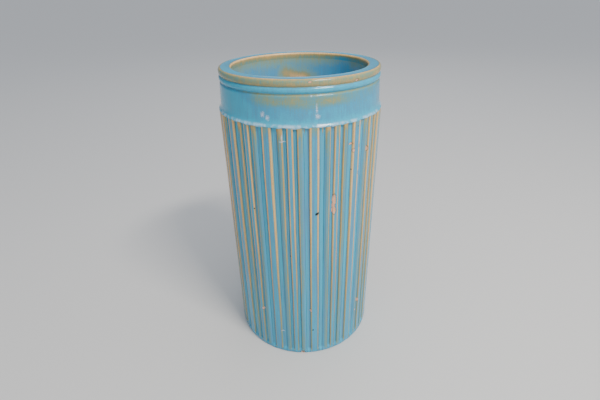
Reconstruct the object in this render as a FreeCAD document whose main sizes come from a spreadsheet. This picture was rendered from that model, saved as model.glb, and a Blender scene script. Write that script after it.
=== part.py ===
import FreeCAD, Part
import math
import os

import Sketcher

# Brush holder pot: a straight-sided fired clay pot with flat-topped ribs all round, a smooth collar
# and a double rolled rim, glazed inside and out. Each clay member is its own solid, luted to the
# next one face to face, and each glaze coat is a skin fused over the clay.
# Millimetres, +Z up, origin on the table under the pot's axis. A broad rib is centred on -Y.

SIZES = {
    # the pot as a whole, over the glaze
    "overall_height": 200.0,
    "crest_radius": 51.6,
    "well_radius": 42.0,
    "rib_top": 175.2,
    # ribs and flutes: twelve equal bays, each with one broad rib and three narrow ones
    "bays": 12,
    "broad_flute": 3.7,
    "broad_flute_turn": 5.16,
    "small_flute": 2.35,
    "small_flute_turn": 11.8,
    "flute_radius": 50.45,
    "flute_start": 3.6,
    "flute_overrun": 2.0,
    # glaze thicknesses: thin over the rib crests, pooled in the flutes
    "crest_glaze": 0.4,
    "flute_glaze": 0.65,
    "flank_glaze": 0.3,
    "well_glaze": 0.4,
    "lip_glaze": 0.4,
    "pool_glaze": 0.5,
    "glaze_line": 0.9,
    "glaze_roll": 0.7,
    # foot and floor
    "foot_height": 3.0,
    "foot_radius": 50.3,
    "foot_bore": 39.0,
    "slab_radius": 45.5,
    "slab_thickness": 8.0,
    "floor_cove": 1.5,
    "skin_core": 48.0,
    # joint between the wall and the collar: a spigot let into the top of the wall
    "spigot_radius": 46.5,
    "spigot_depth": 4.0,
    # collar and rim, clay outline; drops are measured down from the clay top of the lip
    "shoulder_height": 3.1,
    "collar_foot_radius": 49.8,
    "collar_top_radius": 49.2,
    "neck_radius": 48.5,
    "collar_top_drop": 8.7,
    "neck_drop": 7.3,
    "nip_radius": 48.55,
    "nip_drop": 3.9,
    "lip_radius": 48.0,
    "bead_round": 1.8,
    "roll_round": 2.15,
    "arris_cut": 0.7,
    # the same outline over the glaze
    "glazed_collar_foot": 50.25,
    "glazed_collar_top": 49.65,
    "glazed_neck": 48.95,
    "glazed_nip": 49.0,
    "glazed_lip": 48.3,
    "glazed_bead_round": 2.15,
    "glazed_roll_round": 2.4,
    "liner_seam_drop": 4.0,
}

# a set of flutes that leaves more than this share of its blank has cut nothing
UNCUT_SHARE = 0.999

doc = FreeCAD.newDocument("brush_holder_pot")
sheet = doc.addObject("Spreadsheet::Sheet", "Sizes")
for row, (alias, value) in enumerate(SIZES.items(), start=1):
    sheet.set(f"A{row}", alias)
    sheet.set(f"B{row}", str(value))
    sheet.setAlias(f"B{row}", alias)
doc.recompute()


def amount(formula):
    """The value of a sum of sheet names, such as 'crest_radius - crest_glaze'."""
    total = 0.0
    sign = 1.0
    for word in formula.split():
        if word in ("+", "-"):
            sign = 1.0 if word == "+" else -1.0
        else:
            total += sign * (0.0 if word == "zero" else SIZES[word])
    return total


def bound(formula):
    """The same sum written for a property that follows the sheet."""
    words = [word if word in ("+", "-") else "Sizes." + word for word in formula.split()]
    return " ".join(words)


def origin_part(body, role):
    return next(item for item in body.Origin.OriginFeatures if item.Role == role)


def new_body(label):
    body = doc.addObject("PartDesign::Body", label)
    body.Label = label
    return body


def new_sketch(body, name, plane):
    sketch = body.newObject("Sketcher::SketchObject", name)
    sketch.AttachmentSupport = [(origin_part(body, plane), "")]
    sketch.MapMode = "FlatFace"
    return sketch


def bulge_centre(start, end, radius):
    """Centre of an arc of this radius that runs from start up to end and swells outwards."""
    chord = end - start
    half = chord.Length / 2.0
    outward = FreeCAD.Vector(chord.y, -chord.x, 0).normalize()
    return (start + end) / 2.0 - outward * math.sqrt(radius**2 - half**2)


def pin_vertex(sketch, edge, formulas):
    """Ties the start of an edge to the sheet by its distance from the axis and from the table."""
    for kind, formula in zip(("DistanceX", "DistanceY"), formulas):
        if formula == "zero":
            root_axis = -2 if kind == "DistanceX" else -1
            sketch.addConstraint(Sketcher.Constraint("PointOnObject", edge, 1, root_axis))
            continue
        index = sketch.addConstraint(
            Sketcher.Constraint(kind, -1, 1, edge, 1, amount(formula))
        )
        name = f"{kind}_{edge}"
        sketch.renameConstraint(index, name)
        sketch.setExpression(f"Constraints.{name}", bound(formula))


def turned(body, name, outline):
    """Turns a closed outline of (radius, height, round) about the pot's axis. A round that is
    named makes the edge that starts at that corner an arc of that radius."""
    sketch = new_sketch(body, name + "_outline", "XZ_Plane")
    corners = [FreeCAD.Vector(amount(r), amount(z), 0) for r, z, _ in outline]
    for edge, (_, _, rounding) in enumerate(outline):
        start = corners[edge]
        end = corners[(edge + 1) % len(corners)]
        if rounding is None:
            sketch.addGeometry(Part.LineSegment(start, end))
            continue
        centre = bulge_centre(start, end, amount(rounding))
        outward = ((start + end) / 2.0 - centre).normalize()
        middle = centre + outward * amount(rounding)
        sketch.addGeometry(Part.Arc(start, middle, end))
    # an arc is stored anticlockwise, and every arc here runs upwards and swells outwards, so its
    # start and end are already in the outline's order
    for edge in range(len(outline)):
        following = (edge + 1) % len(outline)
        sketch.addConstraint(Sketcher.Constraint("Coincident", edge, 2, following, 1))
    for edge, (radius, height, rounding) in enumerate(outline):
        pin_vertex(sketch, edge, (radius, height))
        if rounding is not None:
            index = sketch.addConstraint(
                Sketcher.Constraint("Radius", edge, amount(rounding))
            )
            sketch.renameConstraint(index, f"round_{edge}")
            sketch.setExpression(f"Constraints.round_{edge}", bound(rounding))
    turn = body.newObject("PartDesign::Revolution", name + "_turned")
    turn.Profile = sketch
    turn.ReferenceAxis = (origin_part(body, "Z_Axis"), [""])
    turn.Angle = 360.0
    body.Tip = turn
    return turn


def flute_sketch(body, name, width, floor_radius, start, turn, hand):
    """A rectangle across one flute, swung from -Y by the angle turn, about +Z or about -Z."""
    sketch = new_sketch(body, name, "XY_Plane")
    sketch.AttachmentOffset = FreeCAD.Placement(
        FreeCAD.Vector(0, 0, amount(start)),
        FreeCAD.Rotation(FreeCAD.Vector(0, 0, hand), amount(turn)),
    )
    sketch.setExpression("AttachmentOffset.Base.z", bound(start))
    sketch.setExpression("AttachmentOffset.Rotation.Angle", bound(turn))
    half = amount(width) / 2.0
    near = -amount(floor_radius)
    far = -amount("crest_radius + flute_overrun")
    corners = [(-half, far), (half, far), (half, near), (-half, near)]
    corners = [FreeCAD.Vector(x, y, 0) for x, y in corners]
    for edge in range(4):
        sketch.addGeometry(Part.LineSegment(corners[edge], corners[(edge + 1) % 4]))
    for edge in range(4):
        sketch.addConstraint(Sketcher.Constraint("Coincident", edge, 2, (edge + 1) % 4, 1))
    sketch.addConstraint(Sketcher.Constraint("Symmetric", 0, 1, 0, 2, -2))
    sketch.addConstraint(Sketcher.Constraint("Vertical", 1))
    sketch.addConstraint(Sketcher.Constraint("Horizontal", 2))
    sketch.addConstraint(Sketcher.Constraint("Vertical", 3))
    measures = (
        ("width", Sketcher.Constraint("DistanceX", 0, 1, 0, 2, 2 * half), width),
        ("mouth", Sketcher.Constraint("DistanceY", 0, 1, -1, 1, -far), "crest_radius + flute_overrun"),
        ("floor", Sketcher.Constraint("DistanceY", 2, 1, -1, 1, -near), floor_radius),
    )
    for measure, constraint, formula in measures:
        index = sketch.addConstraint(constraint)
        sketch.renameConstraint(index, measure)
        sketch.setExpression(f"Constraints.{measure}", bound(formula))
    return sketch


def flute(body, blank, side_growth, floor_radius, start):
    """Cuts the four flutes of one bay up to the rib tops and repeats them for every bay."""
    cuts = []
    for size in ("broad", "small"):
        width = f"{size}_flute{side_growth}"
        for side, hand in (("right", 1), ("left", -1)):
            name = f"{body.Label}_{size}_{side}"
            turn = f"{size}_flute_turn"
            sketch = flute_sketch(body, name, width, floor_radius, start, turn, hand)
            cut = body.newObject("PartDesign::Pocket", name + "_cut")
            cut.Profile = sketch
            cut.Reversed = True
            cut.setExpression("Length", bound(f"rib_top + flute_overrun - {start}"))
            cuts.append(cut)
    bays = body.newObject("PartDesign::PolarPattern", body.Label + "_bays")
    bays.Originals = cuts
    bays.Axis = (origin_part(body, "Z_Axis"), [""])
    bays.Angle = 360.0
    bays.setExpression("Occurrences", bound("bays"))
    body.Tip = bays
    doc.recompute()
    if bays.Shape.Volume > UNCUT_SHARE * blank.Shape.Volume:
        raise RuntimeError("no flutes were cut in " + body.Label)


# Clay: the ribbed wall, rebated at the foot for the slab and at the top for the spigot
ribbed_wall = new_body("ribbed_wall")
wall_blank = turned(
    ribbed_wall,
    "wall",
    [
        ("slab_radius", "foot_height", None),
        ("crest_radius - crest_glaze", "foot_height", None),
        ("crest_radius - crest_glaze", "rib_top", None),
        ("spigot_radius", "rib_top", None),
        ("spigot_radius", "rib_top - spigot_depth", None),
        ("well_radius + well_glaze", "rib_top - spigot_depth", None),
        ("well_radius + well_glaze", "foot_height + slab_thickness", None),
        ("slab_radius", "foot_height + slab_thickness", None),
    ],
)
flute(
    ribbed_wall,
    wall_blank,
    " + flank_glaze + flank_glaze",
    "flute_radius - flute_glaze",
    "flute_start - flank_glaze",
)

# Clay: the collar with its shoulder, its thin bead, the rolled rim and the flat lip
clay_top = "overall_height - lip_glaze"
collar_rim = new_body("collar_rim")
turned(
    collar_rim,
    "collar",
    [
        ("spigot_radius", "rib_top", None),
        ("crest_radius - crest_glaze", "rib_top", None),
        ("collar_foot_radius", "rib_top + shoulder_height", None),
        ("collar_top_radius", clay_top + " - collar_top_drop", None),
        ("neck_radius", clay_top + " - neck_drop", "bead_round"),
        ("nip_radius", clay_top + " - nip_drop", "roll_round"),
        ("lip_radius", clay_top, None),
        ("well_radius + well_glaze + arris_cut", clay_top, None),
        ("well_radius + well_glaze", clay_top + " - arris_cut", None),
        ("well_radius + well_glaze", "rib_top - spigot_depth", None),
        ("spigot_radius", "rib_top - spigot_depth", None),
    ],
)

# Clay: the floor slab, let into the wall and carried by the foot ring
floor_slab = doc.addObject("Part::Cylinder", "floor_slab")
floor_slab.Label = "floor_slab"
floor_slab.setExpression("Radius", "Sizes.slab_radius")
floor_slab.setExpression("Height", "Sizes.slab_thickness")
floor_slab.setExpression("Placement.Base.z", "Sizes.foot_height")

# Clay: the bare foot ring that the pot stands on
foot_ring = new_body("foot_ring")
turned(
    foot_ring,
    "foot",
    [
        ("foot_bore", "zero", None),
        ("foot_radius", "zero", None),
        ("foot_radius", "foot_height", None),
        ("foot_bore", "foot_height", None),
    ],
)

# Glaze: the coat over the ribs and flutes, rolled to a stop just above the table
rib_coat = new_body("rib_coat")
rib_coat_blank = turned(
    rib_coat,
    "rib_coat",
    [
        ("skin_core", "glaze_line", None),
        ("crest_radius - glaze_roll", "glaze_line", "glaze_roll"),
        ("crest_radius", "glaze_line + glaze_roll", None),
        ("crest_radius", "rib_top", None),
        ("skin_core", "rib_top", None),
    ],
)
flute(rib_coat, rib_coat_blank, "", "flute_radius", "flute_start")

# Glaze: the coat over the collar, beads and lip, down to the seam inside the mouth
rim_coat = new_body("rim_coat")
turned(
    rim_coat,
    "rim_coat",
    [
        ("spigot_radius", "rib_top", None),
        ("crest_radius", "rib_top", None),
        ("glazed_collar_foot", "rib_top + shoulder_height", None),
        ("glazed_collar_top", clay_top + " - collar_top_drop", None),
        ("glazed_neck", clay_top + " - neck_drop", "glazed_bead_round"),
        ("glazed_nip", clay_top + " - nip_drop", "glazed_roll_round"),
        ("glazed_lip", "overall_height", None),
        ("well_radius + arris_cut", "overall_height", None),
        ("well_radius", "overall_height - arris_cut", None),
        ("well_radius", "overall_height - liner_seam_drop", None),
        ("spigot_radius", "overall_height - liner_seam_drop", None),
    ],
)

# Glaze: the liner poured over the floor and up the inside of the wall
liner_glaze = new_body("liner_glaze")
floor_top = "foot_height + slab_thickness"
turned(
    liner_glaze,
    "liner",
    [
        ("zero", floor_top, None),
        ("well_radius + well_glaze", floor_top, None),
        ("well_radius + well_glaze", "overall_height - liner_seam_drop", None),
        ("well_radius", "overall_height - liner_seam_drop", None),
        ("well_radius", floor_top + " + well_glaze + floor_cove", None),
        ("well_radius - floor_cove", floor_top + " + well_glaze", None),
        ("zero", floor_top + " + well_glaze", None),
    ],
)


def skin(label, coat, clay):
    """The coat left outside the clay that it covers."""
    core = doc.addObject("Part::MultiFuse", label + "_clay")
    core.Shapes = clay
    cut = doc.addObject("Part::Cut", label)
    cut.Label = label
    cut.Base = coat
    cut.Tool = core
    return cut


rib_glaze = skin("rib_glaze", rib_coat, [ribbed_wall, foot_ring])
rim_glaze = skin("rim_glaze", rim_coat, [collar_rim, ribbed_wall])

doc.recompute()

nodes = [
    ribbed_wall,
    collar_rim,
    floor_slab,
    foot_ring,
    rib_glaze,
    rim_glaze,
    liner_glaze,
]
for item in doc.Objects:
    if "Invalid" in item.State or "Error" in item.State:
        raise RuntimeError(f"{item.Label} did not recompute: {item.State}")
for node in nodes:
    shape = node.Shape
    if shape.isNull() or not shape.isValid() or len(shape.Solids) != 1:
        raise RuntimeError(f"{node.Label} is not one valid solid")

os.makedirs("parts", exist_ok=True)
for node in nodes:
    node.Shape.exportStep(f"parts/{node.Label}.step")
    box = node.Shape.BoundBox
    print(
        f"{node.Label:12s} volume {node.Shape.Volume:10.1f} mm3  "
        f"radius {box.XMax:6.2f}  z {box.ZMin:6.2f} to {box.ZMax:6.2f}"
    )
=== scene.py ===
import math

import bmesh
import bpy
from mathutils import Matrix, Vector, noise


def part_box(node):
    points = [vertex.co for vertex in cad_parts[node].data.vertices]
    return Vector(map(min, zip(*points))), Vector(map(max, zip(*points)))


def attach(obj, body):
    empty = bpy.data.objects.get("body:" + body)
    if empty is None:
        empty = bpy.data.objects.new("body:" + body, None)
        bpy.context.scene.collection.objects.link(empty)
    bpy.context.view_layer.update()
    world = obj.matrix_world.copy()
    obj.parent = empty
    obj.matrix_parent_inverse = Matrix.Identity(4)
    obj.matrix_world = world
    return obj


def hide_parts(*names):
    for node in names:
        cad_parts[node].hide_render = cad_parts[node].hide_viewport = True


# Brush holder pot: a fluted wall, a smooth collar and a double rolled rim of pink-buff clay, under
# turquoise glaze that breaks to tan on every edge. The glaze coats replace the CAD skins and lie on
# plain clay cores. Heights and radii are millimetres, turned to metres where a mesh is made; turns
# are degrees from the broad rib at -Y, round towards +X.

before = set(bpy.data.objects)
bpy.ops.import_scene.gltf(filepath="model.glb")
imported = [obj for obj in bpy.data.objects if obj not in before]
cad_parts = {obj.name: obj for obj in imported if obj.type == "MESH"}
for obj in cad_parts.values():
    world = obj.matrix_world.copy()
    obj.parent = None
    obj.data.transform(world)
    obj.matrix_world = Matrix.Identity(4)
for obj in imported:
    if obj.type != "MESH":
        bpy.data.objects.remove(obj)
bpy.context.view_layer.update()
MM = 0.001

# ---------------------------------------------------------------------------------------------
# Sizes, in millimetres unless a name says otherwise; the pot's own places come from the frame
# ---------------------------------------------------------------------------------------------
GLAZED_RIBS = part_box("rib_glaze")
GLAZED_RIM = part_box("rim_glaze")
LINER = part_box("liner_glaze")
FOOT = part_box("foot_ring")
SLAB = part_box("floor_slab")
CREST_RADIUS = GLAZED_RIBS[1][0] / MM
GLAZE_LINE = GLAZED_RIBS[0][2] / MM
RIB_TOP = GLAZED_RIBS[1][2] / MM
LIP_TOP = GLAZED_RIM[1][2] / MM
CLAY_WELL_RADIUS = LINER[1][0] / MM
FOOT_RADIUS = FOOT[1][0] / MM
FOOT_TOP = FOOT[1][2] / MM
SLAB_RADIUS = SLAB[1][0] / MM
SLAB_TOP = SLAB[1][2] / MM
LINER_SKIN = 0.4
FLOOR_TOP = LINER[0][2] / MM + LINER_SKIN
CORE_RADIUS = 48.9
RIM_CORE_RADIUS = 47.6
SPIGOT_RADIUS = 46.5
SPIGOT_FOOT = RIB_TOP - 4.0
NECK = LIP_TOP - 7.8
LINER_SEAM = LIP_TOP - 4.0
RIM_CORE_TOP = LIP_TOP - 1.1
FLOOR_SEAM_RADIUS = 34.0
FOOT_BORE = 39.0
BACK_MARGIN = 0.2
WELD_MM = 0.001
BAYS = 12
FLUTE_DEPTH = 1.15
BROAD_FLUTE = {"turn": 5.16, "width": 3.7}
SMALL_FLUTE = {"turn": 11.8, "width": 2.35}
QUARTERS = 4


def crest_arc(turn_deg):
    """How far round the rib crests this turn reaches, in metres."""
    return math.radians(turn_deg) * CREST_RADIUS * MM


def linear(hex_colour):
    """An sRGB hex colour as the linear RGBA that a shader takes."""
    parts = [int(hex_colour[i : i + 2], 16) / 255 for i in (1, 3, 5)]
    return [c / 12.92 if c <= 0.04045 else ((c + 0.055) / 1.055) ** 2.4 for c in parts] + [1.0]


def add(tree, kind, inputs=None, **settings):
    """Adds a node with its settings; an input is a value or the socket that feeds it."""
    node = tree.nodes.new(kind)
    for name, value in settings.items():
        setattr(node, name, value)
    for key, value in (inputs or {}).items():
        if isinstance(value, bpy.types.NodeSocket):
            tree.links.new(value, node.inputs[key])
        else:
            node.inputs[key].default_value = value
    return node


def reckon(tree, known, rule):
    """Adds the arithmetic of a rule, one row (name, operation, operands) at a time, and returns
    every named value. STEP is a smooth step of its first operand between the other two."""
    values = dict(known)
    for name, operation, *operands in rule:
        operands = [values.get(item, item) for item in operands]
        if operation == "STEP":
            inputs = dict(zip(("Value", "From Min", "From Max"), operands))
            node = add(tree, "ShaderNodeMapRange", inputs, interpolation_type="SMOOTHSTEP")
        else:
            node = add(tree, "ShaderNodeMath", dict(enumerate(operands)), operation=operation)
        values[name] = node.outputs[0]
    return values


# ---------------------------------------------------------------------------------------------
# The ribbed coat: a tree that bends a grid round the pot and cuts the flutes by rule
# ---------------------------------------------------------------------------------------------
RIB_INPUTS = (
    ("Start Turn", "NodeSocketFloat", 0.0),
    ("Sweep", "NodeSocketFloat", math.tau / QUARTERS),
    ("Columns", "NodeSocketInt", 481),
    ("Rows", "NodeSocketInt", 170),
    ("Bays", "NodeSocketFloat", float(BAYS)),
    ("Crest Radius", "NodeSocketFloat", CREST_RADIUS * MM),
    ("Core Radius", "NodeSocketFloat", CORE_RADIUS * MM),
    ("Glaze Line", "NodeSocketFloat", GLAZE_LINE * MM),
    ("Rib Top", "NodeSocketFloat", RIB_TOP * MM),
    ("Flute Start", "NodeSocketFloat", 3.2 * MM),
    ("Flute Depth", "NodeSocketFloat", FLUTE_DEPTH * MM),
    ("Broad Flute Centre", "NodeSocketFloat", crest_arc(BROAD_FLUTE["turn"])),
    ("Broad Flute Half", "NodeSocketFloat", BROAD_FLUTE["width"] / 2 * MM),
    ("Small Flute Centre", "NodeSocketFloat", crest_arc(SMALL_FLUTE["turn"])),
    ("Small Flute Half", "NodeSocketFloat", SMALL_FLUTE["width"] / 2 * MM),
    ("Arris", "NodeSocketFloat", 0.36 * MM),
    ("Soft Arris", "NodeSocketFloat", 1.15 * MM),
    ("Foot Roll", "NodeSocketFloat", 0.5 * MM),
    ("Wander", "NodeSocketFloat", 0.7 * MM),
    ("Hand Wobble", "NodeSocketFloat", 0.3 * MM),
    ("Foot Waver", "NodeSocketFloat", 1.5 * MM),
)

# Bands that the rules below ramp across, from the first place to the second. These are measured
# from a flute's edge towards the rib beside it, and a minus lies in the flute.
BROAD_LINE_START = (-0.48 * MM, 0.10 * MM)
BROAD_LINE_END = (1.55 * MM, 0.83 * MM)
SMALL_LINE_START = (-0.42 * MM, 0.14 * MM)
SMALL_LINE_END = (1.12 * MM, 0.48 * MM)
RIB_CREST = (0.1 * MM, 0.9 * MM)
# where the foot of a flute's side is painted dark: partly pooled glaze, partly painted shade
POOL_AND_SHADE_START = (-0.95 * MM, -0.75 * MM)
POOL_AND_SHADE_END = (-0.32 * MM, -0.55 * MM)
# these are measured down from the top of the ribs
FLUTE_RUN_OUT = (0.0, 0.8 * MM)
TOP_FADE = (2.0 * MM, 22.0 * MM)
RIB_END_SPILL = (6.5 * MM, 1.5 * MM)
# these are measured up from the table
LOW_FADE = (-10.0 * MM, 140.0 * MM)
FOOT_CLEAR = (0.6 * MM, 3.6 * MM)
# the foot edge wavers most at the glaze line and not at all this far above it
WAVER_HEIGHT = (5.0 * MM, 0.0)
# a flute reaches its full depth this far above its start
FLUTE_RUN_IN = 1.4 * MM

# where a grid point lies round and up the pot, with its rows closer together at both ends; the
# last three rows go back along the core to the first, and close the coat's section
PLACE_RULE = (
    ("u", "ADD", "grid_x", 0.5),
    ("v_all", "ADD", "grid_y", 0.5),
    ("last", "ADD", "Rows", 1.0),
    ("next_last", "ADD", "Rows", 2.0),
    ("row_raw", "MULTIPLY", "v_all", "next_last"),
    ("row", "ROUND", "row_raw"),
    ("outer_last", "SUBTRACT", "Rows", 1.0),
    ("v_raw", "DIVIDE", "row", "outer_last"),
    ("is_wrap", "GREATER_THAN", "row", "last"),
    ("is_core", "GREATER_THAN", "row", "outer_last"),
    ("core_only", "SUBTRACT", "is_core", "is_wrap"),
    ("is_low_core", "COMPARE", "row", "last", 0.5),
    ("keep", "SUBTRACT", 1.0, "is_wrap"),
    ("v_kept", "MULTIPLY", "v_raw", "keep"),
    ("v", "MINIMUM", "v_kept", 1.0),
    ("wave_turn", "MULTIPLY", "v", math.tau),
    ("wave", "SINE", "wave_turn"),
    ("ease", "MULTIPLY", "wave", -0.62 / math.tau),
    ("v_eased", "ADD", "v", "ease"),
    ("up", "SUBTRACT", 1.0, "is_low_core"),
    ("v_placed", "MULTIPLY", "v_eased", "up"),
    ("height_span", "SUBTRACT", "Rib Top", "Glaze Line"),
    ("rise", "MULTIPLY", "v_placed", "height_span"),
    ("z", "ADD", "rise", "Glaze Line"),
    ("turn_in", "MULTIPLY", "u", "Sweep"),
    ("turn", "ADD", "turn_in", "Start Turn"),
    ("side", "SINE", "turn"),
    ("ahead", "COSINE", "turn"),
    ("front", "MULTIPLY", "ahead", -1.0),
    ("round_x", "MULTIPLY", "side", "Crest Radius"),
    ("round_y", "MULTIPLY", "front", "Crest Radius"),
)

# the flutes, the softened arrises and how thin the glaze runs over them; the broad flute is
# scooped, so it climbs to the narrow rib beside it with no hard edge. Each flute wanders a little
FLUTE_RULE = (
    ("bay_turn", "DIVIDE", math.tau, "Bays"),
    ("bay_raw", "DIVIDE", "turn", "bay_turn"),
    ("bay_near", "ROUND", "bay_raw"),
    ("bay_off", "SUBTRACT", "bay_raw", "bay_near"),
    ("bay_arc", "MULTIPLY", "bay_turn", "Crest Radius"),
    ("arc", "MULTIPLY", "bay_off", "bay_arc"),
    ("drift_off", "SUBTRACT", "drift", 0.5),
    ("arc_hand", "MULTIPLY_ADD", "drift_off", "Wander", "arc"),
    ("away", "ABSOLUTE", "arc_hand"),
    ("broad_off", "SUBTRACT", "away", "Broad Flute Centre"),
    ("broad_abs", "ABSOLUTE", "broad_off"),
    ("broad_edge", "SUBTRACT", "broad_abs", "Broad Flute Half"),
    ("scooped", "GREATER_THAN", "broad_off", 0.0),
    ("small_off", "SUBTRACT", "away", "Small Flute Centre"),
    ("small_abs", "ABSOLUTE", "small_off"),
    ("small_edge", "SUBTRACT", "small_abs", "Small Flute Half"),
    ("inner_side", "LESS_THAN", "small_off", 0.0),
    ("narrow_rib", "MULTIPLY", "scooped", "inner_side"),
    ("softer", "SUBTRACT", "Soft Arris", "Arris"),
    ("broad_soft", "MULTIPLY_ADD", "scooped", "softer", "Arris"),
    ("broad_in", "MULTIPLY", "broad_soft", -1.0),
    ("small_in", "MULTIPLY", "Arris", -1.0),
    ("broad_fill", "STEP", "broad_edge", "broad_in", "broad_soft"),
    ("small_fill", "STEP", "small_edge", "small_in", "Arris"),
    ("fill", "MINIMUM", "broad_fill", "small_fill"),
    ("flute_end", "ADD", "Flute Start", FLUTE_RUN_IN),
    ("run_in", "STEP", "z", "Flute Start", "flute_end"),
    ("below_top", "SUBTRACT", "Rib Top", "z"),
    ("run_out", "STEP", "below_top", *FLUTE_RUN_OUT),
    ("hollow", "SUBTRACT", 1.0, "fill"),
    ("hollow_in", "MULTIPLY", "hollow", "run_in"),
    ("hollow_run", "MULTIPLY", "hollow_in", "run_out"),
    ("depth", "MULTIPLY", "hollow_run", "Flute Depth"),
    ("wobble_off", "SUBTRACT", "wobble", 0.62),
    ("wobble_rise", "MULTIPLY", "wobble_off", "Hand Wobble"),
    ("above_line", "SUBTRACT", "z", "Glaze Line"),
    ("roll_left", "SUBTRACT", "Foot Roll", "above_line"),
    ("roll_in", "MAXIMUM", "roll_left", 0.0),
    ("roll_sq", "MULTIPLY", "roll_in", "roll_in"),
    ("foot_sq", "MULTIPLY", "Foot Roll", "Foot Roll"),
    ("roll_rest", "SUBTRACT", "foot_sq", "roll_sq"),
    ("roll_root", "SQRT", "roll_rest"),
    ("roll_cut", "SUBTRACT", "Foot Roll", "roll_root"),
    ("radius_fluted", "SUBTRACT", "Crest Radius", "depth"),
    ("radius_hand", "ADD", "radius_fluted", "wobble_rise"),
    ("radius_rolled", "SUBTRACT", "radius_hand", "roll_cut"),
    ("radius_top", "MINIMUM", "radius_rolled", "Crest Radius"),
    ("outside", "SUBTRACT", 1.0, "core_only"),
    ("radius_out", "MULTIPLY", "radius_top", "outside"),
    ("radius_core", "MULTIPLY", "Core Radius", "core_only"),
    ("radius", "ADD", "radius_out", "radius_core"),
    ("x", "MULTIPLY", "side", "radius"),
    ("y", "MULTIPLY", "front", "radius"),
    # the foot edge of the glaze rises and falls a little round the pot
    ("near_foot", "STEP", "above_line", *WAVER_HEIGHT),
    ("waver_off", "SUBTRACT", "waver", 0.85),
    ("foot_rise", "MULTIPLY", "waver_off", "near_foot"),
    ("z_wavered", "MULTIPLY_ADD", "foot_rise", "Foot Waver", "z"),
    ("z_placed", "MAXIMUM", "z_wavered", 0.05 * MM),
    # how thin the glaze is: a line along each arris, fainter at the narrow rib and towards the foot,
    # where the broad flute's are also narrower; the fading towards the foot is partly painted shade
    ("top_far", "STEP", "below_top", *TOP_FADE),
    ("top_near", "SUBTRACT", 1.0, "top_far"),
    ("soft_line", "MULTIPLY_ADD", "top_near", 0.32, 0.27),
    ("soft_drop", "SUBTRACT", 1.0, "soft_line"),
    ("soft_cut", "MULTIPLY", "scooped", "soft_drop"),
    ("broad_full", "SUBTRACT", 1.0, "soft_cut"),
    ("small_full", "MULTIPLY_ADD", "inner_side", -0.22, 1.0),
    ("low_fade", "STEP", "z", *LOW_FADE),
    ("broad_start", "STEP", "broad_edge", *BROAD_LINE_START),
    ("slack", "SUBTRACT", 1.0, "low_fade"),
    ("slack_less", "MULTIPLY", "slack", 0.32 * MM),
    ("far_less", "MULTIPLY_ADD", "scooped", 0.25 * MM, "slack_less"),
    ("line_far", "SUBTRACT", BROAD_LINE_END[0], "far_less"),
    ("line_near", "SUBTRACT", BROAD_LINE_END[1], "far_less"),
    ("broad_stop", "STEP", "broad_edge", "line_far", "line_near"),
    ("small_start", "STEP", "small_edge", *SMALL_LINE_START),
    ("small_stop", "STEP", "small_edge", *SMALL_LINE_END),
    ("broad_band", "MULTIPLY", "broad_start", "broad_stop"),
    ("small_band", "MULTIPLY", "small_start", "small_stop"),
    ("broad_line", "MULTIPLY", "broad_band", "broad_full"),
    ("small_line", "MULTIPLY", "small_band", "small_full"),
    ("line", "MAXIMUM", "broad_line", "small_line"),
    # the lines fade towards the foot: partly the glaze breaking less there, partly painted shade as the
    # lower pot gets less light
    ("line_body", "MULTIPLY_ADD", "low_fade", 0.46, 0.42),
    ("strength", "MULTIPLY_ADD", "break", 0.34, "line_body"),
    ("line_hand", "MULTIPLY", "strength", 0.86),
    ("line_thin", "MULTIPLY", "line", "line_hand"),
    ("edge", "MINIMUM", "broad_edge", "small_edge"),
    ("crest", "STEP", "edge", *RIB_CREST),
    ("crest_full", "MULTIPLY_ADD", "narrow_rib", 0.20, 0.12),
    ("crest_thin", "MULTIPLY", "crest", "crest_full"),
    # the rib ends under the ledge drain thin for a few millimetres, and some spill that over the
    # flutes, though never next to the broad rib
    ("cap_depth", "MULTIPLY_ADD", "break", 32.0 * MM, -4.0 * MM),
    ("cap_least", "MAXIMUM", "cap_depth", 3.0 * MM),
    ("cap_near", "STEP", "below_top", "cap_least", 0.2 * MM),
    ("spill_near", "STEP", "below_top", *RIB_END_SPILL),
    ("spill_here", "STEP", "break", 0.44, 0.60),
    ("spill", "MULTIPLY", "spill_near", "spill_here"),
    ("spill_kept", "MULTIPLY", "spill", "scooped"),
    ("capped", "MAXIMUM", "fill", "spill_kept"),
    ("cap_crest", "MULTIPLY", "cap_near", "capped"),
    ("cap_share", "MULTIPLY_ADD", "wobble", 0.9, 0.24),
    ("cap_rib", "MULTIPLY_ADD", "narrow_rib", 0.46, 0.54),
    ("cap_full", "MULTIPLY", "cap_share", "cap_rib"),
    ("cap_thin", "MULTIPLY", "cap_crest", "cap_full"),
    ("thin_a", "MAXIMUM", "line_thin", "crest_thin"),
    ("thin_b", "MAXIMUM", "thin_a", "cap_thin"),
    ("foot_clear", "STEP", "z", *FOOT_CLEAR),
    ("thin_c", "MULTIPLY", "thin_b", "foot_clear"),
    # along the foot of each flute's side the glaze pools deeper, and is painted darker still as shade
    # where the flank shades the hollow
    ("pool_shade_start", "STEP", "edge", *POOL_AND_SHADE_START),
    ("pool_shade_stop", "STEP", "edge", *POOL_AND_SHADE_END),
    ("pool_and_shade_band", "MULTIPLY", "pool_shade_start", "pool_shade_stop"),
    ("thin", "MULTIPLY_ADD", "pool_and_shade_band", -0.38, "thin_c"),
)


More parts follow.
